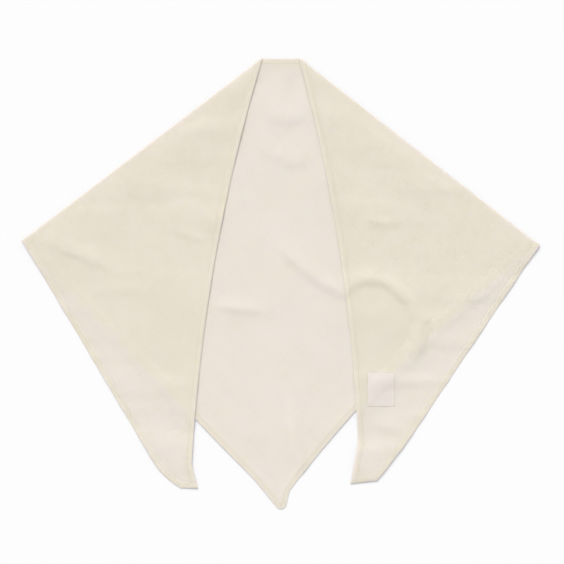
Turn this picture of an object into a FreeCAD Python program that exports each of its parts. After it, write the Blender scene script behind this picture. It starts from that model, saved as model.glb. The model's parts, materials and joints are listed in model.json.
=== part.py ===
import FreeCAD, Part
import math
import os

# Arm sling: a right-angled triangle of unbleached calico, hemmed all round and folded ready to wear.
# The back panel lies flat with its point down, and the two ends of the long edge are folded down over
# it along slanting creases, as two tails. Millimetres, +Z up. The origin is under the middle of the
# folded sling, on the surface that it lies on, with +Y towards the neck edge.

# Folded outline
folded_width = 749.0
folded_height = 652.0
neck_width = 54.0
left_corner_drop = 264.0
right_corner_drop = 271.0
right_leg_bow = 19.0

# Point of the back panel, where its two leg edges meet
point_radius = 8.0
point_left_shoulder = (-37.0, 41.0)
point_right_shoulder = (13.0, 27.0)

# Cut of the cloth: each leg edge from the square corner to a 45 degree corner
leg_length = 991.0
sharp_corner_angle = 45.0

# Tails. The swing is how far each one lies off the true fold, and the turns are those of its edge.
tails = {
    "left": {
        "swing": 0.4,
        "end_curve_length": 59.0,
        "end_curve_turn": 30.0,
        "tip_turn": 30.0,
        "tip_width": 24.6,
        "flick_turn": 104.6,
        "flick_length": 34.5,
        "inner_edge_bow": 17.7,
    },
    "right": {
        "swing": 3.6,
        "end_curve_length": 105.0,
        "end_curve_turn": 6.0,
        "tip_turn": 43.0,
        "tip_width": 38.7,
        "flick_turn": 107.4,
        "flick_length": 62.3,
        "inner_edge_bow": 15.6,
    },
}

# Cloth, hems and folds
cloth_thickness = 0.4
hem_turnings = 2
hem_width = 8.0
layer_gap = 2.0
fold_clearance = 0.3

# Sewing thread, pressed into the cloth
thread_width = 0.45
thread_depth = 0.15
stitch_to_hem_edge = 1.6

# Blank label, sewn to the right tail
label_width = 39.0
label_height = 49.0
label_thickness = 0.25
label_above_tip = 112.0
label_to_hem = 8.0
label_stitch_inset = 2.5

# How far the outlines run past a crease before they are trimmed to it
reach_past_fold = 60.0

hem_thickness = hem_turnings * cloth_thickness
seam_near = hem_width - stitch_to_hem_edge - thread_width / 2
seam_far = seam_near + thread_width
panel_bottom = hem_thickness
panel_top = panel_bottom + cloth_thickness
tail_bottom = panel_top + layer_gap
tail_top = tail_bottom + cloth_thickness
fold_height = (panel_top + tail_bottom) / 2
neck_y = folded_height / 2
point_y = -folded_height / 2

up = FreeCAD.Vector(0, 0, 1)


def flat(x, y):
    return FreeCAD.Vector(x, y, 0)


def heading(degrees):
    """Unit vector in the plane of the cloth, at an angle from +X."""
    return flat(math.cos(math.radians(degrees)), math.sin(math.radians(degrees)))


def angle_of(vector):
    return math.degrees(math.atan2(vector.y, vector.x))


def line(start, end):
    return Part.LineSegment(start, end).toShape()


def bowed(start, end, bow):
    """Arc from start to end, bowed to the left of that direction."""
    along = (end - start).normalize()
    middle = (start + end) / 2 + up.cross(along) * bow
    return Part.Arc(start, middle, end).toShape()


def mirrored(shape):
    return shape.mirror(FreeCAD.Vector(0, 0, 0), FreeCAD.Vector(1, 0, 0))


def inset(face, distance):
    """The face with every edge moved in by the distance, its corners kept sharp."""
    return Part.Face(face.OuterWire.makeOffset2D(-distance, 2))


def band(face, near, far):
    """The strip of a face between two distances from its edge."""
    outer = inset(face, near) if near > 0 else face
    return outer.cut(inset(face, far))


def beyond(start, end, side, gap=0.0):
    """A large face on one side of a line: +1 is left of start to end. It stops short of it by the gap."""
    far = 2 * (folded_width + folded_height)
    along = (end - start).normalize()
    out = up.cross(along) * side
    corners = [start - along * far, start + along * far]
    near = [corner + out * gap for corner in corners]
    away = [corner + out * far for corner in reversed(corners)]
    return Part.Face(Part.makePolygon(near + away + near[:1]))


def raised(face, bottom, height):
    """The solids of a flat face between two heights."""
    moved = face.copy()
    moved.translate(up * bottom)
    solids = [part.extrude(up * height) for part in moved.Faces]
    return solids[0] if len(solids) == 1 else Part.makeCompound(solids)


# The back panel: where its corners are

left_neck = flat(-neck_width / 2, neck_y)
right_neck = flat(neck_width / 2, neck_y)
left_corner = flat(-folded_width / 2, neck_y - left_corner_drop)
right_corner = flat(folded_width / 2, neck_y - right_corner_drop)
left_shoulder = flat(point_left_shoulder[0], point_y + point_left_shoulder[1])
right_shoulder = flat(point_right_shoulder[0], point_y + point_right_shoulder[1])
point_centre = flat(0, point_y + point_radius)


def touch(start, side):
    """Where a line from start touches the round point, passing it on the given side."""
    to_centre = point_centre - start
    lean = math.degrees(math.asin(point_radius / to_centre.Length))
    reach = math.sqrt(to_centre.Length**2 - point_radius**2)
    return start + heading(angle_of(to_centre) + side * lean) * reach


left_touch = touch(left_shoulder, -1)
right_touch = touch(right_shoulder, 1)
left_leg = (left_corner - left_shoulder).normalize()
right_leg_edge = bowed(right_corner, right_shoulder, -right_leg_bow)
right_leg = -right_leg_edge.tangentAt(right_leg_edge.FirstParameter).normalize()
left_leg_length = (left_corner - left_shoulder).Length + (left_shoulder - point_centre).Length
right_leg_length = right_leg_edge.Length + (right_shoulder - point_centre).Length

# The cloth of the panel before it is trimmed to the two creases
left_beyond = left_corner + left_leg * reach_past_fold
right_beyond = right_corner + right_leg * reach_past_fold
neck_start = left_neck - flat(reach_past_fold, 0)
neck_end = right_neck + flat(reach_past_fold, 0)
panel_cloth = Part.Face(
    Part.Wire(
        [
            line(neck_start, neck_end),
            line(neck_end, right_beyond),
            line(right_beyond, right_corner),
            right_leg_edge,
            line(right_shoulder, right_touch),
            Part.Arc(right_touch, flat(0, point_y), left_touch).toShape(),
            line(left_touch, left_shoulder),
            line(left_shoulder, left_beyond),
            line(left_beyond, neck_start),
        ]
    )
)


def trimmed_to_creases(face):
    """A face of the panel without what lies past either crease."""
    past_left = beyond(left_corner, left_neck, 1)
    past_right = beyond(right_corner, right_neck, -1)
    return face.cut(past_left).cut(past_right)


panel_hems = trimmed_to_creases(band(panel_cloth, 0, hem_width))
panel_seams = trimmed_to_creases(band(panel_cloth, seam_near, seam_far))
below_neck = beyond(left_neck - flat(0, 2 * hem_width), right_neck - flat(0, 2 * hem_width), -1)
right_of_point = beyond(point_centre, flat(0, neck_y), -1)
panel_areas = {
    "neck_hem": lambda face: face.cut(below_neck),
    "panel_left_leg_hem": lambda face: face.common(below_neck).cut(right_of_point),
    "panel_right_leg_hem": lambda face: face.common(below_neck).common(right_of_point),
}

nodes = {}


def sew_hem(name, hem_face, seam_face, hem_bottom, thread_on_cloth, thread_on_hem):
    """A hem, and the needle and bobbin threads that hold it, each pressed in level with its face."""
    threads = [
        raised(seam_face, thread_on_cloth, thread_depth),
        raised(seam_face, thread_on_hem, thread_depth),
    ]
    nodes[name] = raised(hem_face, hem_bottom, hem_thickness).cut(threads[1])
    nodes[name + "_stitching"] = Part.makeCompound(threads)
    return threads[0]


panel = raised(trimmed_to_creases(panel_cloth), panel_bottom, cloth_thickness)
for name, area in panel_areas.items():
    needle_thread = sew_hem(
        name,
        area(panel_hems),
        area(panel_seams),
        panel_bottom - hem_thickness,
        panel_top - thread_depth,
        panel_bottom - hem_thickness,
    )
    panel = panel.cut(needle_thread)
nodes["back_panel"] = panel


# The tails: both are drawn as the left one, and the right one is then mirrored


def tail_shape(tail, corner, neck, leg_heading, panel_leg_length):
    """The tail's cloth, running on past its crease, its tip, and its inner edge."""
    crease_heading = angle_of(neck - corner)
    leg_angle = crease_heading - leg_heading
    turn = crease_heading - (180 - leg_angle) + tail["swing"]
    turned_in = tail["tip_width"] / 2 / math.tan(math.radians(sharp_corner_angle / 2))
    straight = leg_length - panel_leg_length - tail["end_curve_length"] - turned_in
    start = corner - heading(turn) * reach_past_fold
    curve_start = corner + heading(turn) * straight
    half_turn = tail["end_curve_turn"] / 2
    radius = tail["end_curve_length"] / math.radians(tail["end_curve_turn"])
    chord = 2 * radius * math.sin(math.radians(half_turn))
    curve_end = curve_start + heading(turn + half_turn) * chord
    curve_bow = radius * (1 - math.cos(math.radians(half_turn)))
    turn += tail["end_curve_turn"] + tail["tip_turn"]
    tip = curve_end + heading(turn) * tail["tip_width"]
    turn += tail["flick_turn"]
    flick_end = tip + heading(turn) * tail["flick_length"]
    inner_edge = bowed(flick_end, neck, tail["inner_edge_bow"])
    inner_heading = inner_edge.tangentAt(inner_edge.LastParameter).normalize()
    end = neck + inner_heading * reach_past_fold
    cloth = Part.Face(
        Part.Wire(
            [
                line(start, curve_start),
                bowed(curve_start, curve_end, -curve_bow),
                line(curve_end, tip),
                line(tip, flick_end),
                inner_edge,
                line(neck, end),
                line(end, start),
            ]
        )
    )
    return cloth, tip, inner_heading


def fold_roll(corner, neck, leg_angle, neck_angle):
    """The turned cloth of a crease, with the turned hems round it at both ends."""
    along = (neck - corner).normalize()
    out = up.cross(along)
    inner_radius = layer_gap / 2
    cloth_radius = inner_radius + cloth_thickness
    hem_radius = cloth_radius + hem_thickness
    length = (neck - corner).Length

    def half_tube(start, run, small, large):
        centre = corner + along * start + up * fold_height
        section = Part.Wire(
            [
                Part.Arc(centre + up * large, centre + out * large, centre - up * large).toShape(),
                line(centre - up * large, centre - up * small),
                Part.Arc(centre - up * small, centre + out * small, centre + up * small).toShape(),
                line(centre + up * small, centre + up * large),
            ]
        )
        return Part.Face(section).extrude(along * run)

    leg_run = hem_width / math.sin(math.radians(leg_angle))
    neck_run = hem_width / math.sin(math.radians(neck_angle))
    rolls = Part.makeCompound(
        [
            half_tube(0, length, inner_radius, cloth_radius),
            half_tube(0, leg_run, cloth_radius, hem_radius),
            half_tube(length - neck_run, neck_run, cloth_radius, hem_radius),
        ]
    )
    return rolls.common(outer_limits)


# The rolls end level with the neck edge and with the side corners
limits_height = 2 * (tail_top + hem_thickness)
outer_limits = Part.makeBox(
    folded_width,
    folded_height,
    limits_height,
    FreeCAD.Vector(-folded_width / 2, -folded_height / 2, -limits_height / 4),
)


def level_strip(low, height):
    """A strip right across the sling, from one level up to another."""
    reach = flat(2 * folded_width, 0)
    corners = [flat(0, low) - reach, flat(0, low) + reach]
    corners += [flat(0, low + height) + reach, flat(0, low + height) - reach]
    return Part.Face(Part.makePolygon(corners + corners[:1]))


sides = {
    "left": (left_corner, left_neck, angle_of(-left_leg), left_leg_length),
    "right": (
        flat(-right_corner.x, right_corner.y),
        flat(-right_neck.x, right_neck.y),
        angle_of(flat(right_corner.x - right_shoulder.x, right_shoulder.y - right_corner.y)),
        right_leg_length,
    ),
}
for side, (corner, neck, leg_heading, panel_leg_length) in sides.items():
    place = mirrored if side == "right" else (lambda shape: shape)
    cloth, tip, inner_heading = tail_shape(
        tails[side], corner, neck, leg_heading, panel_leg_length
    )
    inside = beyond(corner, neck, -1, fold_clearance)
    tail = raised(cloth.common(inside), tail_bottom, cloth_thickness)
    hems = band(cloth, 0, hem_width).common(inside)
    seams = band(cloth, seam_near, seam_far).common(inside)
    outer_side = beyond(tip, (corner + neck) / 2, 1)
    areas = {
        side + "_tail_leg_hem": lambda face: face.common(outer_side),
        side + "_tail_base_hem": lambda face: face.cut(outer_side),
    }
    for name, area in areas.items():
        bobbin_thread = sew_hem(
            name,
            area(hems),
            area(seams),
            tail_top,
            tail_bottom,
            tail_top + hem_thickness - thread_depth,
        )
        tail = tail.cut(bobbin_thread)
    nodes[side + "_tail"] = tail
    crease_heading = angle_of(neck - corner)
    nodes[side + "_fold"] = fold_roll(
        corner, neck, crease_heading - leg_heading, angle_of(inner_heading) - crease_heading
    )
    if side == "right":
        label_low = cloth.BoundBox.YMin + label_above_tip
        beside = hems.cut(outer_side).common(level_strip(label_low, label_height))
        label_side = -beside.optimalBoundingBox(False).XMin + label_to_hem
    for name in list(nodes):
        if name.startswith(side + "_"):
            nodes[name] = place(nodes[name])

# The label, square to the folded sling


def label_sheet(margin):
    """The label's rectangle, drawn in from its edge by a margin."""
    width = label_width - 2 * margin
    height = label_height - 2 * margin
    low = flat(label_side + margin, label_low + margin)
    return Part.Face(
        Part.makePolygon(
            [low, low + flat(width, 0), low + flat(width, height), low + flat(0, height), low]
        )
    )


label_seam = label_sheet(label_stitch_inset).cut(label_sheet(label_stitch_inset + thread_width))
label_thread = raised(label_seam, tail_top + label_thickness - thread_depth, thread_depth)
nodes["label"] = raised(label_sheet(0), tail_top, label_thickness).cut(label_thread)
nodes["label_stitching"] = label_thread

os.makedirs("parts", exist_ok=True)
for name, shape in nodes.items():
    shape.exportStep("parts/" + name + ".step")

box = Part.makeCompound(list(nodes.values())).optimalBoundingBox(False)
print("sling %.2f x %.2f x %.2f mm" % (box.XLength, box.YLength, box.ZLength))
print("middle %.2f, %.2f, bottom %.2f" % (box.Center.x, box.Center.y, box.ZMin))
print("creases from", left_corner, "to", left_neck, "and from", right_corner, "to", right_neck)
print("turning at a height of %.3f" % fold_height)
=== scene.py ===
import json
import math

import bmesh
import bpy
import numpy as np
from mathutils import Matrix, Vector, geometry, noise
from mathutils.bvhtree import BVHTree


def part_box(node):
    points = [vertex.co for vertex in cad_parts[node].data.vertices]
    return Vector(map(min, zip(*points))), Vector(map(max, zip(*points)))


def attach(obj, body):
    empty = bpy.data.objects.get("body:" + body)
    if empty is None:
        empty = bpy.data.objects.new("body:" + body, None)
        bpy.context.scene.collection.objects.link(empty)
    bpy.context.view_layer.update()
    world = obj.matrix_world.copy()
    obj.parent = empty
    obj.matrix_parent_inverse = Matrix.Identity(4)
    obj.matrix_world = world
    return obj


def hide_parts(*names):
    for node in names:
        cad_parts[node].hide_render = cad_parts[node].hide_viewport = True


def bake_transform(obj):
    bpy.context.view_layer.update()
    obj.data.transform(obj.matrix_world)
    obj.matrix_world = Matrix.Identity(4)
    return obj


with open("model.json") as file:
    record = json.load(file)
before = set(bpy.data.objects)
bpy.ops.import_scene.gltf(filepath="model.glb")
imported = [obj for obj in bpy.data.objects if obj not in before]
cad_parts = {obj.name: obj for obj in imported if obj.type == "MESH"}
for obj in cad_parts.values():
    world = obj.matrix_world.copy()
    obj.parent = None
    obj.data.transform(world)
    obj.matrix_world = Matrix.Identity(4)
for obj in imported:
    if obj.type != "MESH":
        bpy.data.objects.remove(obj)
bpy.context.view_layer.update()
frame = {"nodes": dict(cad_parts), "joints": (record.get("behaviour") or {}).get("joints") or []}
bpy.ops.object.select_all(action="DESELECT")
mm = 0.001

# Camera: straight above the sling, with the neck edge at the top of the view. The sling fills most
# of the view's width, and lies a little above its middle.
view_width = 818 * mm
view_middle = (1.8 * mm, 2.5 * mm)
furthest_seen = 50
lens = 85 * mm
sensor = 36 * mm
bpy.ops.object.camera_add(
    location=(*view_middle, view_width * lens / sensor), rotation=(0, 0, 0)
)
camera = bpy.context.object
camera.data.lens = lens / mm
camera.data.sensor_width = sensor / mm
camera.data.clip_end = furthest_seen
bpy.context.scene.camera = camera

# Creases: the two lines along which the ends of the long edge are folded down over the back panel.
# Each runs from a side corner up to the neck edge. The cloth turns over round its joint's axis.
creases = {}
for joint in frame["joints"]:
    side = joint["name"].split("_")[0]
    along = Vector(joint["axis"]).xy
    if along.y < 0:
        along = -along
    inward = Vector((along.y, -along.x)) * (1 if side == "left" else -1)
    creases[side] = {
        "corner": np.array(Vector(joint["pos_m"]).xy),
        "along": np.array(along),
        "inward": np.array(inward),
        "height": joint["pos_m"][2],
    }

# Back panel: the middle of the triangle of unbleached calico, lying on the table with its point down.
# It is one thickness of plain weave. Its edges are lifted by the hems turned under them.
cloth_half = 0.2 * mm
hem_width = 8 * mm
hem_thickness = 0.55 * mm
point_spacing = 4 * mm
table_gap = 0.05 * mm
same_place = 0.01 * mm
smooth_angle = math.radians(50)


def outline(node, level):
    """The corners round a flat CAD node's lowest or highest face, as an array of x and y."""
    shape = bmesh.new()
    shape.from_mesh(frame["nodes"][node].data)
    bmesh.ops.remove_doubles(shape, verts=shape.verts, dist=same_place)
    height = level(v.co.z for v in shape.verts)
    flat = {f for f in shape.faces if all(abs(v.co.z - height) < same_place for v in f.verts)}
    border = {}
    for face in flat:
        for loop in face.loops:
            if sum(f in flat for f in loop.edge.link_faces) == 1:
                border[loop.vert.index] = loop.link_loop_next.vert.index
    places = {v.index: (v.co.x, v.co.y) for v in shape.verts}
    shape.free()
    loops = []
    while border:
        start = next(iter(border))
        walk = [start]
        while walk[-1] in border:
            walk.append(border.pop(walk[-1]))
        loops.append(np.array([places[i] for i in walk[:-1]]))
    return max(loops, key=len)


def from_corner(loop, corner, neck):
    """The loop turned to start at a side corner and to run away from that corner's crease."""
    start = np.argmin(np.linalg.norm(loop - corner, axis=1))
    loop = np.roll(loop, -start, axis=0)
    if np.linalg.norm(loop[1] - neck) < np.linalg.norm(loop[-1] - neck):
        loop = np.roll(loop[::-1], 1, axis=0)
    return loop


def spaced(path, spacing):
    """Points along a path, its own corners among them, no further apart than the spacing."""
    points = []
    for start, end in zip(path[:-1], path[1:]):
        count = max(1, math.ceil(np.linalg.norm(end - start) / spacing))
        points += [start + (end - start) * i / count for i in range(count)]
    return np.array(points + [path[-1]])


def distances(points, path):
    """Each point's distance from a path, and how far along the path its nearest place is."""
    best = np.full(len(points), np.inf)
    place = np.zeros(len(points))
    passed = 0.0
    for start, end in zip(path[:-1], path[1:]):
        run = end - start
        length = np.linalg.norm(run)
        if length == 0:
            continue
        share = np.clip((points - start) @ run / length**2, 0, 1)
        away = np.linalg.norm(points - start - share[:, None] * run, axis=1)
        nearer = away < best
        best[nearer] = away[nearer]
        place[nearer] = passed + share[nearer] * length
        passed += length
    return best, place


def within(points, loop):
    """Which points lie inside a closed loop."""
    inside = np.zeros(len(points), bool)
    for (x0, y0), (x1, y1) in zip(loop, np.roll(loop, -1, axis=0)):
        if y0 == y1:
            continue
        crosses = (y0 > points[:, 1]) != (y1 > points[:, 1])
        inside ^= crosses & (points[:, 0] < x0 + (points[:, 1] - y0) * (x1 - x0) / (y1 - y0))
    return inside


def inward_normals(path, loop):
    """The direction into the loop at each point of a path that runs along its edge."""
    run = np.gradient(path, axis=0)
    run /= np.linalg.norm(run, axis=1)[:, None]
    normal = np.stack([-run[:, 1], run[:, 0]], axis=1)
    middle = len(path) // 2
    probe = 0.5 * mm
    if not within(path[middle : middle + 1] + normal[middle] * probe, loop)[0]:
        normal = -normal
    return normal


hem_rows = (hem_width / 3, hem_width * 2 / 3, hem_width, hem_width + 3 * mm)
row_slack = 0.4 * mm
row_room = 1.6 * mm
grid_step = 5 * mm
grid_wander = 0.18
edge_room = 2.5 * mm
hem_room = 5.5 * mm
only_inside = 1
nearest_points = 1e-5


def meshed(loop, hemmed, seed):
    """Triangles over the cloth inside a loop, in even rows along its hemmed edges."""
    closed = np.vstack([loop, loop[:1]])
    rim = spaced(closed, point_spacing)[:-1]
    rows = []
    for path in hemmed:
        points = spaced(path, point_spacing)
        normals = inward_normals(points, loop)
        for depth in hem_rows:
            row = points + normals * depth
            near, _ = distances(row, closed)
            rows.append(row[(near > depth - row_slack) & within(row, loop)])
    random = np.random.default_rng(seed)
    low, high = loop.min(0), loop.max(0)
    xs = np.arange(low[0], high[0], grid_step)
    ys = np.arange(low[1], high[1], grid_step * math.sqrt(3) / 2)
    x, y = np.meshgrid(xs, ys)
    x = x + (np.arange(len(ys)) % 2)[:, None] * grid_step / 2
    grid = np.stack([x.ravel(), y.ravel()], axis=1)
    grid += random.uniform(-grid_wander, grid_wander, grid.shape) * grid_step
    away = distances(grid, closed)[0]
    hem_away = np.min([distances(grid, path)[0] for path in hemmed], axis=0)
    grid = grid[(away > edge_room) & (hem_away > hem_width + hem_room) & within(grid, loop)]
    kept = [rim]
    for row in rows:
        if len(row) == 0:
            continue
        taken = np.vstack(kept)
        gap = np.linalg.norm(row[:, None] - taken[None], axis=2).min(axis=1)
        kept.append(row[gap > row_room])
    points = np.vstack(kept + [grid])
    rim_order = [list(range(len(rim)))]
    places, _, faces, _, _, _ = geometry.delaunay_2d_cdt(
        [Vector(p) for p in points / mm], [], rim_order, only_inside, nearest_points
    )
    return np.array([tuple(p) for p in places]) * mm, [tuple(f) for f in faces]


panel_loop = outline("back_panel", min)
crease_slack = 0.1 * mm
for crease in creases.values():
    offset = (panel_loop - crease["corner"]) @ crease["inward"]
    reach = (panel_loop - crease["corner"]) @ crease["along"]
    on_crease = np.abs(offset) < crease_slack
    crease["length"] = reach[on_crease].max()
    crease["neck"] = crease["corner"] + crease["along"] * crease["length"]
panel_loop = from_corner(panel_loop, creases["left"]["corner"], creases["left"]["neck"])
at_right = np.argmin(np.linalg.norm(panel_loop - creases["right"]["corner"], axis=1))
at_point = np.argmin(panel_loop[:, 1])
panel_hems = {
    "panel_left_leg_hem": panel_loop[: at_point + 1],
    "panel_right_leg_hem": panel_loop[at_point : at_right + 1],
    "neck_hem": np.array([creases["right"]["neck"], creases["left"]["neck"]]),
}


def eased(value, low, high):
    """0 below low, 1 above high, and a smooth rise between."""
    share = np.clip((value - low) / (high - low), 0, 1)
    return share * share * (3 - 2 * share)


def rumple(points, size, seed, depth=2, stretch=1):
    """Soft unevenness from 0 to 1, with hollows and swells about one size across."""
    place = Vector((seed * 7.31, seed * 3.17, seed * 1.93))
    raw = [
        noise.fractal(Vector((x / size / stretch, y / size, 0)) + place, 1.0, 2.0, depth)
        for x, y in points
    ]
    return np.clip(0.5 + 0.55 * np.array(raw), 0, 1)


# Creases that the cloth keeps from being packed, in mm: where each runs, its height and its width
soft_creases = [
    ([(-8, 58), (2, 49), (28, 24), (57, 2), (86, -14), (98, -14)], 1.9, 7),
    (
        [
            (92, -16), (104, -2), (122, 6), (150, 2), (168, -9), (188, -30), (203, -58),
            (202, -90), (190, -118),
        ],
        2.7,
        7,
    ),
    ([(128, -40), (150, -50), (165, -85)], 1.0, 22),
    ([(122, 94), (145, 88), (168, 86)], 1.3, 5),
    ([(-340, 62), (-300, 45), (-255, 26)], 1.9, 7),
    ([(-160, 116), (-115, 105)], 1.2, 5),
    ([(-155, 74), (-112, 63)], 1.3, 5),
    ([(-94, -34), (-60, -37), (-26, -41)], 1.6, 6),
    ([(132, -204), (160, -210), (190, -222)], 1.3, 6),
    ([(14, -185), (24, -230), (34, -275)], 2.0, 6),
    ([(-30, 300), (-10, 225), (0, 130)], 1.0, 14),
    ([(30, 296), (50, 220), (60, 120)], 1.0, 14),
    ([(-20, 245), (8, 238), (36, 243)], 1.2, 9),
    ([(-14, 190), (12, 176), (40, 178)], 1.1, 9),
]


gentle_side = np.array([-0.26, 0.96])
steep_width = 0.8
gentle_extra = 1.3
end_share = 0.22
end_height = 0.3


def crease_heights(points):
    """How high the kept creases stand: each rises gently on one side and steeply on the other."""
    height = np.zeros(len(points))
    for path, rise, width in soft_creases:
        path = np.array(path) * mm
        away, place = distances(points, path)
        steps = np.linalg.norm(np.diff(path, axis=0), axis=1)
        passed = np.concatenate([[0], np.cumsum(steps)])
        nearest = np.stack([np.interp(place, passed, path[:, axis]) for axis in (0, 1)], axis=1)
        facing = (points - nearest) @ gentle_side / np.maximum(away, same_place)
        spread = width * (steep_width + gentle_extra * eased(facing, -0.6, 0.6)) * mm
        length = passed[-1]
        fade = end_share * length
        ends = eased(place, 0, fade) * eased(length - place, 0, fade)
        profile = np.exp(-((away / spread) ** 2))
        height += rise * mm * profile * (end_height + (1 - end_height) * ends) * (away < 4 * spread)
    return height


# At a crease the cloth springs a little off the table, and turns over in a small soft roll
fold_low = 1.6 * mm
hem_lift = hem_thickness + 0.1 * mm
hem_fade = 5 * mm
panel_settles = 28 * mm


def crease_gap(points):
    """Each point's distance from the nearer crease line."""
    gaps = [np.abs((points - c["corner"]) @ c["inward"]) for c in creases.values()]
    return np.min(gaps, axis=0)


def panel_height(points):
    """The height of the middle of the panel's cloth above the table."""
    hem_away = np.min([distances(points, path)[0] for path in panel_hems.values()], axis=0)
    lift = 1 - eased(hem_away, hem_width, hem_width + hem_fade)
    swell = 1.6 * rumple(points, 130 * mm, 1) + 0.5 * rumple(points, 45 * mm, 2)
    waves = np.maximum((swell - 0.5) * mm + crease_heights(points), 0)
    flat = eased(crease_gap(points), 0, panel_settles)
    laid = table_gap + cloth_half + hem_lift * lift + waves
    return fold_low * (1 - flat) + laid * flat


def laid_out(name, points, faces, places, cut):
    """A cloth: its mesh, the flat places that pieces on it are set out by, and its weave's directions."""
    mesh = bpy.data.meshes.new(name)
    mesh.from_pydata([tuple(p) for p in places], [], faces)
    mesh.validate()
    mesh.update()
    weave = mesh.uv_layers.new(name="cut")
    corners = np.array([loop.vertex_index for loop in mesh.loops])
    weave.data.foreach_set("uv", np.asarray(cut)[corners].astype(np.float32).ravel())
    normals = np.array([tuple(v.normal) for v in mesh.vertices])
    if normals[:, 2].sum() < 0:
        mesh.flip_normals()
        normals = -normals
    piece = bpy.data.objects.new(name, mesh)
    bpy.context.scene.collection.objects.link(piece)
    tree = BVHTree.FromPolygons([(x, y, 0) for x, y in points], faces)
    return {
        "piece": piece,
        "points": points,
        "faces": faces,
        "places": np.asarray(places),
        "normals": normals,
        "cut": np.asarray(cut),
        "tree": tree,
    }


def lay_on(cloth, points):
    """Where flat places lie on the draped cloth: their places, the cloth's normals, and the weave."""
    places, normals, cuts = [], [], []
    for x, y in points:
        spot, _, index, _ = cloth["tree"].find_nearest((x, y, 0))
        corners = cloth["faces"][index]
        a, b, c = (Vector((*cloth["points"][i], 0)) for i in corners)
        shares = np.array(geometry.barycentric_transform(
            spot, a, b, c, Vector((1, 0, 0)), Vector((0, 1, 0)), Vector((0, 0, 1))
        ))
        places.append(shares @ cloth["places"][list(corners)])
        normal = shares @ cloth["normals"][list(corners)]
        normals.append(normal / np.linalg.norm(normal))
        cuts.append(shares @ cloth["cut"][list(corners)])
    return np.array(places), np.array(normals), np.array(cuts)


def weave_of(points):
    """Flat places turned so that the threads, which run along the leg edges, lie along x and y."""
    return np.stack([points[:, 0] - points[:, 1], points[:, 0] + points[:, 1]], axis=1) / math.sqrt(2)


def thickened(piece, thickness):
    """Gives a sheet its thickness, with smooth faces and crisp edges."""
    bpy.ops.object.select_all(action="DESELECT")
    piece.select_set(True)
    bpy.context.view_layer.objects.active = piece
    solid = piece.modifiers.new("thickness", "SOLIDIFY")
    solid.thickness = thickness
    solid.offset = 0
    bpy.ops.object.modifier_apply(modifier=solid.name)
    bpy.ops.object.shade_smooth_by_angle(angle=smooth_angle)


panel_points, panel_faces = meshed(panel_loop, list(panel_hems.values()), seed=3)
panel_places = np.column_stack([panel_points, panel_height(panel_points)])
panel = laid_out("back_panel_cloth", panel_points, panel_faces, panel_places, weave_of(panel_points))
thickened(panel["piece"], 2 * cloth_half)

# Calico: unbleached cotton in a plain weave. Its yarns are uneven, with slubs and a few seed flecks.
# One thickness lets some light through, so two thicknesses look a little deeper than one.


class Shade:
    """A number or colour in a material, with arithmetic that adds its own nodes."""

    def __init__(self, material, socket):
        self.material = material
        self.socket = socket

    def _math(self, operation, first, second):
        return self.material.node("ShaderNodeMath", {"operation": operation}, {0: first, 1: second})

    def __add__(self, other):
        return self._math("ADD", self, other)

    def __radd__(self, other):
        return self._math("ADD", other, self)

    def __sub__(self, other):
        return self._math("SUBTRACT", self, other)

    def __rsub__(self, other):
        return self._math("SUBTRACT", other, self)

    def __mul__(self, other):
        return self._math("MULTIPLY", self, other)

    def __rmul__(self, other):
        return self._math("MULTIPLY", other, self)


class Finish:
    """A material made of nodes."""

    def __init__(self, name):
        self.material = bpy.data.materials.new(name)
        self.material.use_nodes = True
        self.tree = self.material.node_tree
        self.tree.nodes.clear()

    def node(self, kind, settings=None, inputs=None, output=0):
        made = self.tree.nodes.new(kind)
        for name, value in (settings or {}).items():
            setattr(made, name, value)
        for name, value in (inputs or {}).items():
            if isinstance(value, Shade):
                self.tree.links.new(value.socket, made.inputs[name])
            else:
                made.inputs[name].default_value = value
        return Shade(self, made.outputs[output]) if made.outputs else None

    def mixed(self, share, first, second, blend="MIX"):
        """A colour that goes from the first to the second."""
        return self.node(
            "ShaderNodeMix",
            {"data_type": "RGBA", "blend_type": blend},
            {0: share, 6: first, 7: second},
            output=2,
        )


thread_count = 640.0
see_through_share = 0.60
raised = 0.25 * mm


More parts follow.
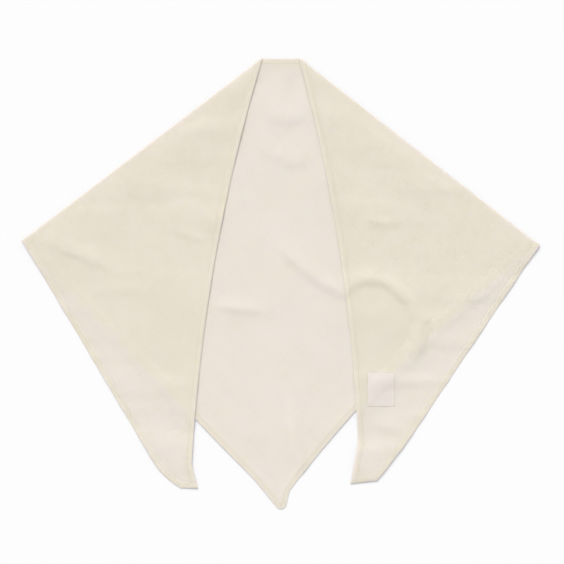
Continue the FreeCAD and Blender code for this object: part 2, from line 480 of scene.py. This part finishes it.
def calico(name, warm, pale, see_through):
    """Unbleached calico on a piece whose cut map gives the directions of its threads."""
    finish = Finish(name)
    cut = finish.node("ShaderNodeUVMap", {"uv_map": "cut"})

    def yarns(across, along, seed, detail=2.0, output=0):
        """Streaks that run along one set of threads."""
        scaled = finish.node(
            "ShaderNodeMapping",
            {"vector_type": "POINT"},
            {"Vector": cut, "Location": (seed, seed * 0.7, seed * 0.3), "Scale": (across, along, 1)},
        )
        return finish.node(
            "ShaderNodeTexNoise",
            {"noise_dimensions": "2D"},
            {"Vector": scaled, "Scale": 1.0, "Detail": detail, "Roughness": 0.55},
            output,
        )

    def crossings(direction):
        """Rounded ridges, one to each thread of the warp or the weft."""
        return finish.node(
            "ShaderNodeTexWave",
            {"wave_type": "BANDS", "bands_direction": direction},
            {
                "Vector": cut,
                "Scale": thread_count,
                "Distortion": 2.5,
                "Detail": 1.0,
                "Detail Scale": 0.05,
            },
            output=1,
        )

    weave = (crossings("X") - 0.5) * (crossings("Y") - 0.5) * 2.0
    warp = yarns(1100, 55, 3.1)
    weft = yarns(60, 1000, 7.7)
    warp_slub = yarns(520, 26, 12.3, 1.0)
    weft_slub = yarns(24, 560, 19.1, 1.0)
    cloud = yarns(14, 14, 23.7)
    patch = yarns(55, 55, 31.9)

    def step(value, low, high):
        return finish.node(
            "ShaderNodeMapRange",
            {"interpolation_type": "SMOOTHSTEP"},
            {"Value": value, "From Min": low, "From Max": high, "To Min": 0.0, "To Max": 1.0},
        )

    slubs = step(warp_slub, 0.63, 0.78) + step(weft_slub, 0.63, 0.78)
    threads = warp * 0.5 + weft * 0.5
    ragged = finish.node(
        "ShaderNodeVectorMath",
        {"operation": "MULTIPLY_ADD"},
        {0: yarns(900, 900, 37.7, output=1), 1: (0.0022, 0.0022, 0.0), 2: cut},
    )
    speck = finish.node(
        "ShaderNodeTexVoronoi",
        {"feature": "F1", "voronoi_dimensions": "2D"},
        {"Vector": ragged, "Scale": 60.0, "Randomness": 1.0},
    )
    chosen = step(yarns(38, 38, 41.3, 0.0), 0.62, 0.68)
    flecks = (1.0 - step(speck, 0.012, 0.034)) * chosen
    tone = finish.mixed(step(cloud * 0.6 + patch * 0.4, 0.3, 0.7), warm, pale)
    shaded = finish.mixed(
        step(threads, 0.28, 0.72) * 0.5, tone, (1.0, 1.0, 1.0, 1.0), "SOFT_LIGHT"
    )
    slubbed = finish.mixed(slubs * 0.4, shaded, (0.88, 0.84, 0.60, 1.0))
    colour = finish.mixed(flecks * 0.8, slubbed, (0.45, 0.33, 0.13, 1.0))
    relief = threads + weave * 0.35 + slubs * 0.5 + patch * 0.6
    bump = finish.node(
        "ShaderNodeBump", {}, {"Strength": 0.7, "Distance": raised, "Height": relief}
    )
    cloth = finish.node(
        "ShaderNodeBsdfPrincipled",
        {},
        {
            "Base Color": colour,
            "Roughness": 0.92,
            "Specular IOR Level": 0.25,
            "Sheen Weight": 0.12,
            "Sheen Roughness": 0.5,
            "Normal": bump,
        },
    )
    through = finish.node("ShaderNodeBsdfTranslucent", {}, {"Color": see_through, "Normal": bump})
    both = finish.node("ShaderNodeMixShader", {}, {0: see_through_share, 1: cloth, 2: through})
    finish.node("ShaderNodeOutputMaterial", {}, {"Surface": both})
    return finish.material


panel_calico = calico(
    "calico", (0.97, 0.96, 0.605, 1.0), (0.99, 0.98, 0.645, 1.0), (0.888, 0.822, 1.0, 1.0)
)
panel["piece"].data.materials.append(panel_calico)
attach(panel["piece"], "back_layer")
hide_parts("back_panel")

# Panel hems: the raw edges of the calico are turned under twice. They show from above as a low ridge
# with a line of stitches, and each ends at a crease, where the tail's own hem takes over.
hem_profile = [
    (-0.14, -0.14), (-0.22, 0.10), (-0.10, 0.45), (0.6, 0.66), (2.5, 0.74), (4.0, 0.74), (5.5, 0.68),
    (6.4, 0.58), (7.3, 0.66), (8.0, 0.52), (8.1, 0.14), (4.0, 0.10), (0.4, -0.10),
]
hem_depths = np.array([depth for depth, _ in hem_profile]) * mm
hem_offsets = np.array([offset for _, offset in hem_profile]) * mm
seam_depth = 6.4 * mm
edge_row = 3
section_spacing = 2.5 * mm
lean_reach = 22 * mm
pucker_size = 5 * mm
pucker_share = 0.16
stitch_pitch = 3.0 * mm
stitch_length = 2.3 * mm
stitch_sides = 6
stitch_half_width = 0.24 * mm
stitch_half_height = 0.17 * mm
stitch_sink = 0.10 * mm
beside_cloth = 0.03 * mm
on_hem = 0.42 * mm


def unit(vector):
    return vector / np.linalg.norm(vector)


def rows_along(path, loop, depths, first=None, last=None, spacing=section_spacing):
    """Points at the given depths inside a path. At either end they may lie along a given direction."""
    points = spaced(path, spacing)
    normals = inward_normals(points, loop)
    steps = np.linalg.norm(np.diff(points, axis=0), axis=1)
    passed = np.concatenate([[0], np.cumsum(steps)])
    run = np.gradient(points, axis=0)
    run /= np.linalg.norm(run, axis=1)[:, None]
    lean = np.zeros(len(points))
    if first is not None:
        start_run = unit(points[1] - points[0])
        cosine = float(start_run @ unit(np.array(first)))
        lean += cosine / math.sqrt(1 - cosine**2) * np.clip(1 - passed / lean_reach, 0, 1)
        run[0], normals[0] = start_run, turned_like(start_run, normals[0])
    if last is not None:
        end_run = unit(points[-1] - points[-2])
        cosine = float(-end_run @ unit(np.array(last)))
        left = passed[-1] - passed
        lean -= cosine / math.sqrt(1 - cosine**2) * np.clip(1 - left / lean_reach, 0, 1)
        run[-1], normals[-1] = end_run, turned_like(end_run, normals[-1])
    across = normals + run * lean[:, None]
    return points[:, None] + across[:, None] * np.asarray(depths)[None, :, None]


def turned_like(run, normal):
    """The square-on direction to a run that points the same way as a normal."""
    square = np.array([-run[1], run[0]])
    return square if square @ normal > 0 else -square


def new_piece(name, places, faces, cuts):
    """An object with closed, outward faces and a cut map."""
    mesh = bpy.data.meshes.new(name)
    mesh.from_pydata([tuple(p) for p in places], [], faces)
    weave = mesh.uv_layers.new(name="cut")
    corners = np.array([loop.vertex_index for loop in mesh.loops])
    weave.data.foreach_set("uv", np.asarray(cuts)[corners].astype(np.float32).ravel())
    shape = bmesh.new()
    shape.from_mesh(mesh)
    bmesh.ops.recalc_face_normals(shape, faces=shape.faces)
    shape.to_mesh(mesh)
    shape.free()
    piece = bpy.data.objects.new(name, mesh)
    bpy.context.scene.collection.objects.link(piece)
    bpy.ops.object.select_all(action="DESELECT")
    piece.select_set(True)
    bpy.context.view_layer.objects.active = piece
    return piece


def hem_strip(name, cloth, sections, face, seed):
    """A turned hem on one face of a cloth: 1 for its upper face, -1 for its under face."""
    count, rows = sections.shape[:2]
    places, normals, cuts = lay_on(cloth, sections.reshape(-1, 2))
    places = places.reshape(count, rows, 3)
    normals = normals.reshape(count, rows, 3)
    away = places[:, edge_row] - places[:, edge_row + 1]
    away /= np.linalg.norm(away, axis=1)[:, None]
    for row in np.flatnonzero(hem_depths < 0):
        places[:, row] += away * -hem_depths[row] * 0.9
    pucker = np.array([
        noise.noise(Vector((x / pucker_size, y / pucker_size, seed)))
        for x, y in sections[:, edge_row + 1]
    ])
    free = hem_offsets[None] > 0.3 * mm
    offsets = hem_offsets[None] * (1 + pucker_share * pucker[:, None] * free)
    places = places + normals * (offsets * face)[..., None]
    faces = []
    for i in range(count - 1):
        for j in range(rows):
            k = (j + 1) % rows
            faces.append((i * rows + j, i * rows + k, (i + 1) * rows + k, (i + 1) * rows + j))
    faces.append(tuple(range(rows)))
    faces.append(tuple((count - 1) * rows + j for j in reversed(range(rows))))
    strip = new_piece(name, places.reshape(-1, 3), faces, cuts)
    bpy.ops.object.shade_smooth_by_angle(angle=smooth_angle)
    return strip


def stitches(name, cloth, sections, offsets):
    """Stitches along the middle of a seam's rows, on each of the given offsets from the cloth."""
    line = sections[:, 0]
    steps = np.linalg.norm(np.diff(line, axis=0), axis=1)
    passed = np.concatenate([[0], np.cumsum(steps)])
    count = int(passed[-1] // stitch_pitch)
    middles = (np.arange(count) + 0.5) * passed[-1] / count

    def at(place):
        """Flat places at the given distances along the seam."""
        return np.stack([np.interp(place, passed, line[:, axis]) for axis in (0, 1)], axis=1)

    starts, _, _ = lay_on(cloth, at(middles - stitch_length / 2))
    centres, normals, cuts = lay_on(cloth, at(middles))
    ends, _, _ = lay_on(cloth, at(middles + stitch_length / 2))
    places, faces, maps = [], [], []
    for offset in offsets:
        for start, centre, end, normal, cut in zip(starts, centres, ends, normals, cuts):
            run = (end - start) / 2
            across = np.cross(normal, unit(run))
            first = len(places)
            ring = first + 1
            ahead = ring + stitch_sides
            lift = normal * offset
            sink = normal * stitch_sink * np.sign(offset)
            places.append(start + lift - sink)
            for share in (-0.62, 0.62):
                for corner in range(stitch_sides):
                    angle = 2 * math.pi * corner / stitch_sides
                    wide = across * math.cos(angle) * stitch_half_width * 0.85
                    high = normal * math.sin(angle) * stitch_half_height * 0.85
                    places.append(centre + lift + run * share + wide + high)
            places.append(end + lift - sink)
            for corner in range(stitch_sides):
                after = (corner + 1) % stitch_sides
                faces.append((first, ring + after, ring + corner))
                faces.append((ring + corner, ring + after, ahead + after, ahead + corner))
                faces.append((ahead + corner, ahead + after, ahead + stitch_sides))
            maps += [cut] * (2 * stitch_sides + 2)
    piece = new_piece(name, places, faces, maps)
    bpy.ops.object.shade_smooth()
    return piece


def sewing_thread(name, colour):
    """Soft cotton sewing thread, two plies twisted."""
    finish = Finish(name)
    where = finish.node("ShaderNodeTexCoord", {}, {}, output=3)
    plies = finish.node(
        "ShaderNodeTexNoise",
        {"noise_dimensions": "3D"},
        {"Vector": where, "Scale": 3500.0, "Detail": 1.0, "Roughness": 0.5},
    )
    tint = finish.node(
        "ShaderNodeTexNoise",
        {"noise_dimensions": "3D"},
        {"Vector": where, "Scale": 120.0, "Detail": 1.0, "Roughness": 0.5},
    )
    darker = tuple(c * 0.9 for c in colour[:3]) + (1.0,)
    tone = finish.mixed(plies * 0.6 + tint * 0.4, darker, colour)
    bump = finish.node(
        "ShaderNodeBump", {}, {"Strength": 0.4, "Distance": 0.1 * mm, "Height": plies}
    )
    thread = finish.node(
        "ShaderNodeBsdfPrincipled",
        {},
        {
            "Base Color": tone,
            "Roughness": 0.8,
            "Specular IOR Level": 0.3,
            "Sheen Weight": 0.2,
            "Sheen Roughness": 0.4,
            "Normal": bump,
        },
    )
    finish.node("ShaderNodeOutputMaterial", {}, {"Surface": thread})
    return finish.material


thread = sewing_thread("cotton_thread", (0.66, 0.62, 0.51, 1.0))
left_crease_run = creases["left"]["along"]
right_crease_run = creases["right"]["along"]
panel_ends = {
    "panel_left_leg_hem": (left_crease_run, None),
    "panel_right_leg_hem": (None, right_crease_run),
    "neck_hem": (-right_crease_run, -left_crease_run),
}
panel_trim = []
for seed, (name, path) in enumerate(panel_hems.items()):
    first, last = panel_ends[name]
    sections = rows_along(path, panel_loop, np.maximum(hem_depths, 0), first, last)
    hem = hem_strip(name + "_turned", panel, sections, -1, seed)
    hem.data.materials.append(panel_calico)
    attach(hem, "back_layer")
    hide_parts(name)
    seam = rows_along(path, panel_loop, [seam_depth], first, last)
    top, under = cloth_half + beside_cloth, -(cloth_half + on_hem)
    sewn = stitches(name + "_stitches", panel, seam, (top, under))
    sewn.data.materials.append(thread)
    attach(sewn, "back_layer")
    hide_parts(name + "_stitching")
    panel_trim += [hem, sewn]


# Tails: the two ends of the same triangle, folded down over the panel along the creases. Each turns
# over in a soft roll at its crease, then settles on the panel, and past the panel's edge on the table.
roll_steps = 8
roll_reach = 0.9 * mm
swell_reach = 26 * mm
layer_lift = 0.66 * mm
stitch_room = 0.16 * mm
tail_limit = 4.15 * mm
tail_settles = 22 * mm
step_start, step_end = 1.5 * mm, 36 * mm
edge_springs = {"left": 0.8 * mm, "right": 0.2 * mm}
swell_seeds = {"left": 5, "right": 8}
mesh_seeds = {"left": 11, "right": 17}
roll_seeds = {"left": 21, "right": 25}
tails = {}


def tail_parts(side):
    """A tail's outline in crease coordinates: along the crease from its corner, and in from the crease."""
    crease = creases[side]
    loop = outline(f"{side}_tail", max) - crease["corner"]
    loop = np.stack([loop @ crease["along"], loop @ crease["inward"]], axis=1)
    at_crease = loop[:, 1] < 0.5 * mm
    nearer = loop[:, 0] < crease["length"] / 2
    loop[at_crease & nearer] = (0, 0)
    loop[at_crease & ~nearer] = (crease["length"], 0)
    loop = from_corner(loop, np.zeros(2), np.array([crease["length"], 0]))
    runs = np.diff(np.vstack([loop, loop[:1]]), axis=0)
    headings = np.unwrap(np.arctan2(runs[:, 1], runs[:, 0]))
    turns = np.abs(np.diff(headings))
    tip = 1 + np.argmax(turns[: len(loop) - 2])
    return loop, loop[: tip + 1], loop[tip:]


def on_ground(side, flat):
    """Crease coordinates as places over the table."""
    crease = creases[side]
    return crease["corner"] + flat[:, :1] * crease["along"] + flat[:, 1:] * crease["inward"]


def tail_height(side, flat, leg, base):
    """The height of the middle of a tail's cloth."""
    ground = on_ground(side, flat)
    panel_edge = np.min(
        [distances(ground, panel_hems[f"panel_{leg_side}_leg_hem"])[0] for leg_side in creases],
        axis=0,
    )
    covered = within(ground, panel_loop)
    over = np.where(covered, 1, 1 - eased(panel_edge, step_start, step_end))
    seed = swell_seeds[side]
    kept = crease_heights(ground)
    swell = 0.9 * rumple(ground, 140 * mm, seed) + 3.2 * rumple(ground, 32 * mm, seed + 1, 2, 5)
    own = np.maximum(swell - 1.5, 0) * mm * (1 - 0.85 * eased(kept, 0, 1.5 * mm))
    low = table_gap + stitch_room + cloth_half + own + 0.8 * kept
    high = panel_height(ground) + layer_lift + own * 0.7
    height = low * (1 - over) + high * over
    wander = 0.4 + 0.6 * rumple(ground, 60 * mm, seed + 2)
    base_away = distances(flat, base)[0]
    height += edge_springs[side] * wander * (1 - eased(base_away, 3 * mm, 20 * mm))
    hem_away = np.minimum(distances(flat, leg)[0], base_away)
    limit = tail_limit - hem_lift * (1 - eased(hem_away, hem_width, hem_width + hem_fade))
    inside = flat[:, 1]
    spring = eased(inside, 0, swell_reach) * (1 - eased(inside, swell_reach, 4 * swell_reach))
    height += 1.5 * mm * spring * eased(hem_away, 0, 40 * mm)
    folded = 1 - eased(inside, 0, tail_settles)
    fold_high = 2 * creases[side]["height"] - fold_low
    return np.minimum(height * (1 - folded) + fold_high * folded, limit)


def tail_cloth(side):
    """A tail with the roll that joins it to the panel."""
    crease = creases[side]
    loop, leg, base = tail_parts(side)
    flat, faces = meshed(loop, [leg, base], seed=mesh_seeds[side])
    ground = on_ground(side, flat)
    places = np.column_stack([ground, tail_height(side, flat, leg, base)])
    rim = np.flatnonzero(np.abs(flat[:, 1]) < 1e-6)
    rim = rim[np.argsort(flat[rim, 0])]
    along = flat[rim, 0]
    top = places[rim, 2]
    foot = on_ground(side, np.column_stack([along, np.zeros(len(rim))]))
    bottom = panel_height(foot)
    last = list(rim)
    flats, rounds, rolled = [flat], [places], list(faces)
    count = len(flat)
    reach = roll_reach * (0.8 + 0.5 * rumple(foot, 30 * mm, roll_seeds[side]))
    for step in range(1, roll_steps + 1):
        turn = math.pi * step / roll_steps
        outward = -crease["inward"] * (reach * math.sin(turn))[:, None]
        height = (top + bottom) / 2 + (top - bottom) / 2 * math.cos(turn)
        flats.append(np.column_stack([along, np.full(len(rim), -turn * roll_reach)]))
        rounds.append(np.column_stack([foot + outward, height]))
        row = list(range(count, count + len(rim)))
        count += len(rim)
        for i in range(len(rim) - 1):
            rolled.append((row[i], row[i + 1], last[i + 1]))
            rolled.append((row[i], last[i + 1], last[i]))
        last = row
    flat = np.vstack(flats)
    places = np.vstack(rounds)
    out = flat[:, 1] + math.pi * roll_reach
    cut = crease["corner"] + flat[:, :1] * crease["along"] - out[:, None] * crease["inward"]
    cloth = laid_out(f"{side}_tail_cloth", flat, rolled, places, weave_of(cut))
    cloth.update(loop=loop, leg=leg, base=base)
    return cloth


def fold_over(piece):
    """Bakes a piece's placement into its mesh."""
    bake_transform(piece)


for side in creases:
    tail = tails[side] = tail_cloth(side)
    thickened(tail["piece"], 2 * cloth_half)
    tail["piece"].data.materials.append(panel_calico)
    fold_over(tail["piece"])
    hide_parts(f"{side}_tail", f"{side}_fold")

# Tail hems: the same turned hems, uppermost here because the folded tails show their wrong side.
# They run round the tip, meet in a mitre there, and go on round the crease with the cloth.


def round_the_roll(sections, at_start):
    """Adds sections that carry a hem on round its tail's roll."""
    at_crease = sections[0] if at_start else sections[-1]
    turned = []
    for step in range(1, roll_steps + 1):
        section = at_crease.copy()
        section[:, 1] = -math.pi * step / roll_steps * roll_reach
        turned.append(section)
    if at_start:
        return np.concatenate([turned[::-1], sections])
    return np.concatenate([sections, turned])


along_crease = np.array([1.0, 0.0])
tail_trim = {}
for side, tail in tails.items():
    mitre = unit(unit(tail["leg"][-2] - tail["leg"][-1]) + unit(tail["base"][1] - tail["base"][0]))
    paths = {
        "leg": (tail["leg"], along_crease, mitre, True),
        "base": (tail["base"], mitre, -along_crease, False),
    }
    tail_trim[side] = []
    for hemmed, (path, first, last, at_start) in paths.items():
        name = f"{side}_tail_{hemmed}_hem"
        sections = rows_along(path, tail["loop"], np.maximum(hem_depths, 0), first, last)
        sections = round_the_roll(sections, at_start)
        hem = hem_strip(name + "_turned", tail, sections, 1, len(name) + len(side) * 3)
        hem.data.materials.append(panel_calico)
        fold_over(hem)
        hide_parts(name)
        seam = rows_along(path, tail["loop"], [seam_depth], first, last)
        over, below = cloth_half + on_hem, -(cloth_half + beside_cloth)
        sewn = stitches(name + "_stitches", tail, round_the_roll(seam, at_start), (over, below))
        sewn.data.materials.append(thread)
        fold_over(sewn)
        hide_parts(name + "_stitching")
        tail_trim[side] += [hem, sewn]

# Label: a small blank tape label, sewn flat near the right tail's tip with a row of stitches all
# round. It is a close smooth weave, a little duller and pinker than the calico.
label_low, label_high = (np.array(corner.xy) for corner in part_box("label"))
label_half = 0.12 * mm
label_gap = 0.04 * mm
label_columns, label_rows = 15, 19
label_inset = 2.5 * mm
label_seam_spacing = 2 * mm


def label_place(across, up):
    """A place on the label as crease coordinates of the right tail, from its shares across and up."""
    ground = label_low + (label_high - label_low) * np.stack([across, up], axis=-1)
    crease = creases["right"]
    offset = ground - crease["corner"]
    return np.stack([offset @ crease["along"], offset @ crease["inward"]], axis=-1)


across, up = np.meshgrid(np.linspace(0, 1, label_columns), np.linspace(0, 1, label_rows))
label_flat = label_place(across.ravel(), up.ravel())
label_at, label_normals, label_cut = lay_on(tails["right"], label_flat)
label_at = label_at + label_normals * (cloth_half + label_half + label_gap)
label_starts = [
    row * label_columns + column
    for row in range(label_rows - 1)
    for column in range(label_columns - 1)
]
label_faces = [
    (first, first + 1, first + label_columns + 1, first + label_columns) for first in label_starts
]
label = new_piece("sewn_label", label_at, label_faces, label_cut)
thickened(label, 2 * label_half)


def label_tape(name, colour):
    """Plain woven tape in a fine close weave."""
    finish = Finish(name)
    cut = finish.node("ShaderNodeUVMap", {"uv_map": "cut"})
    fine = finish.node(
        "ShaderNodeTexNoise",
        {"noise_dimensions": "2D"},
        {"Vector": cut, "Scale": 1800.0, "Detail": 1.0, "Roughness": 0.5},
    )
    soft = finish.node(
        "ShaderNodeTexNoise",
        {"noise_dimensions": "2D"},
        {"Vector": cut, "Scale": 90.0, "Detail": 2.0, "Roughness": 0.5},
    )
    darker = tuple(c * 0.93 for c in colour[:3]) + (1.0,)
    tone = finish.mixed(fine * 0.5 + soft * 0.5, darker, colour)
    bump = finish.node(
        "ShaderNodeBump", {}, {"Strength": 0.35, "Distance": 0.1 * mm, "Height": fine + soft}
    )
    tape = finish.node(
        "ShaderNodeBsdfPrincipled",
        {},
        {
            "Base Color": tone,
            "Roughness": 0.75,
            "Specular IOR Level": 0.3,
            "Sheen Weight": 0.1,
            "Normal": bump,
        },
    )
    finish.node("ShaderNodeOutputMaterial", {}, {"Surface": tape})
    return finish.material


label.data.materials.append(label_tape("woven_tape", (0.60, 0.548, 0.512, 1.0)))
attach(label, "right_flap")
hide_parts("label")
label_size = label_high - label_low
near_x, near_y = label_inset / label_size
far_x, far_y = 1 - near_x, 1 - near_y
seam_corners = np.array([
    (near_x, near_y), (far_x, near_y), (far_x, far_y), (near_x, far_y), (near_x, near_y),
])
label_seam = spaced(label_place(seam_corners[:, 0], seam_corners[:, 1]), label_seam_spacing)
over, below = cloth_half + 2 * label_half + 0.05 * mm, -(cloth_half + beside_cloth)
label_sewn = stitches("label_stitches", tails["right"], label_seam[:, None], (over, below))
label_sewn.data.materials.append(thread)
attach(label_sewn, "right_flap")
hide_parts("label_stitching")

# Table: plain, pale and matt. Soft light comes from beyond the neck edge and a little to the left,
# as from a wide window, with even light from all round.
table_size = 60
table_shade = (0.694, 0.694, 0.694, 1.0)
all_round = 0.83
window_strength = 3.20
window_softness = math.radians(35)
window_at = Vector((-0.6, 2.2, 1.6))
bpy.ops.mesh.primitive_plane_add(size=table_size, location=(0, 0, 0))
table = bpy.context.object
table.name = "table"
surface = Finish("table_top")
matt = surface.node(
    "ShaderNodeBsdfPrincipled",
    {},
    {"Base Color": table_shade, "Roughness": 0.9, "Specular IOR Level": 0.1},
)
surface.node("ShaderNodeOutputMaterial", {}, {"Surface": matt})
table.data.materials.append(surface.material)

world = bpy.data.worlds.new("studio")
bpy.context.scene.world = world
world.use_nodes = True
background = world.node_tree.nodes["Background"]
background.inputs["Color"].default_value = (1.0, 1.0, 1.0, 1.0)
background.inputs["Strength"].default_value = all_round
bpy.ops.object.light_add(type="SUN", location=window_at)
window = bpy.context.object
window.name = "soft_window"
window.data.angle = window_softness
window.data.energy = window_strength
window.rotation_euler = (-window_at).to_track_quat("-Z", "Y").to_euler()
bpy.context.scene.view_settings.view_transform = "Standard"
